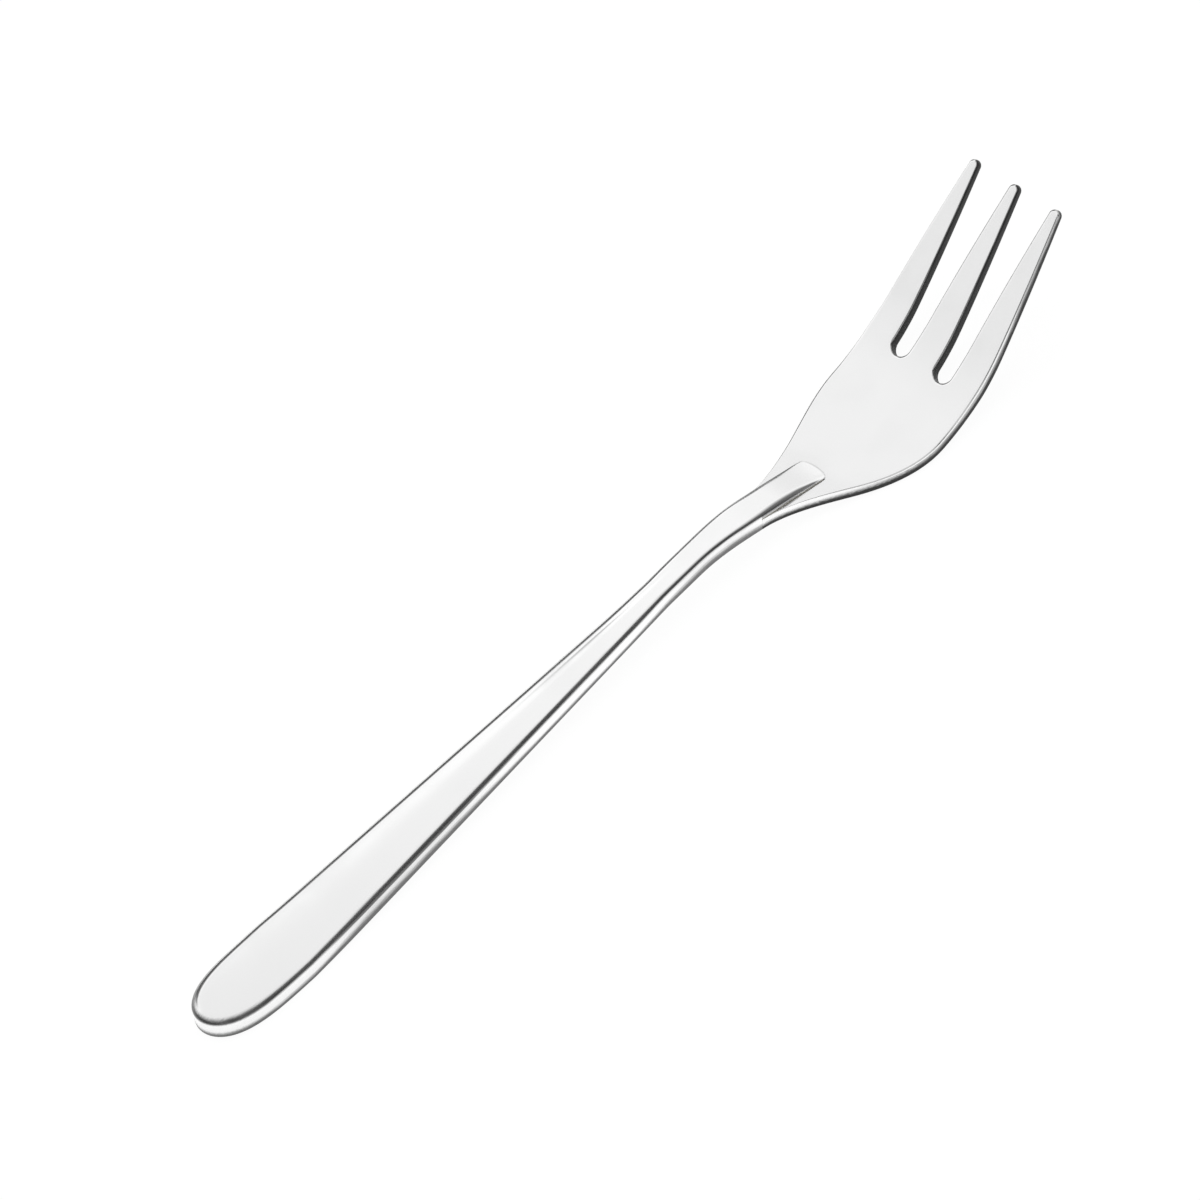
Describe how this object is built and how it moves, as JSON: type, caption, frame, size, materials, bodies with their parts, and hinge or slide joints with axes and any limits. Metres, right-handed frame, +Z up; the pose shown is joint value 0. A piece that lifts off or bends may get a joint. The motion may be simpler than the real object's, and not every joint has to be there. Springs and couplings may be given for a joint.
{
  "type": "appetizer fork",
  "caption": "Slim appetizer fork with a tapered flat handle turned slightly up at its end, a stem lapped onto a curved head, and parallel tapered tines.",
  "frame": {"origin": "on the table plane, under the middle of the overall length, on the fork's plane of symmetry", "axes": "+X from the handle's end to the tine tips, +Y to the left of the handle, +Z up from the table with the tines pointing up"},
  "size_m": [0.1507, 0.0198, 0.0191],
  "materials": {
    "handle_steel": "polished stainless steel with a soft sheen",
    "head_steel": "polished stainless steel with a soft sheen",
    "braze_alloy": "pale silver-bearing braze, hidden in the lap"
  },
  "bodies": {
    "root": {"handle": "handle_steel", "head": "head_steel", "braze": "braze_alloy"}
  },
  "joints": []
}
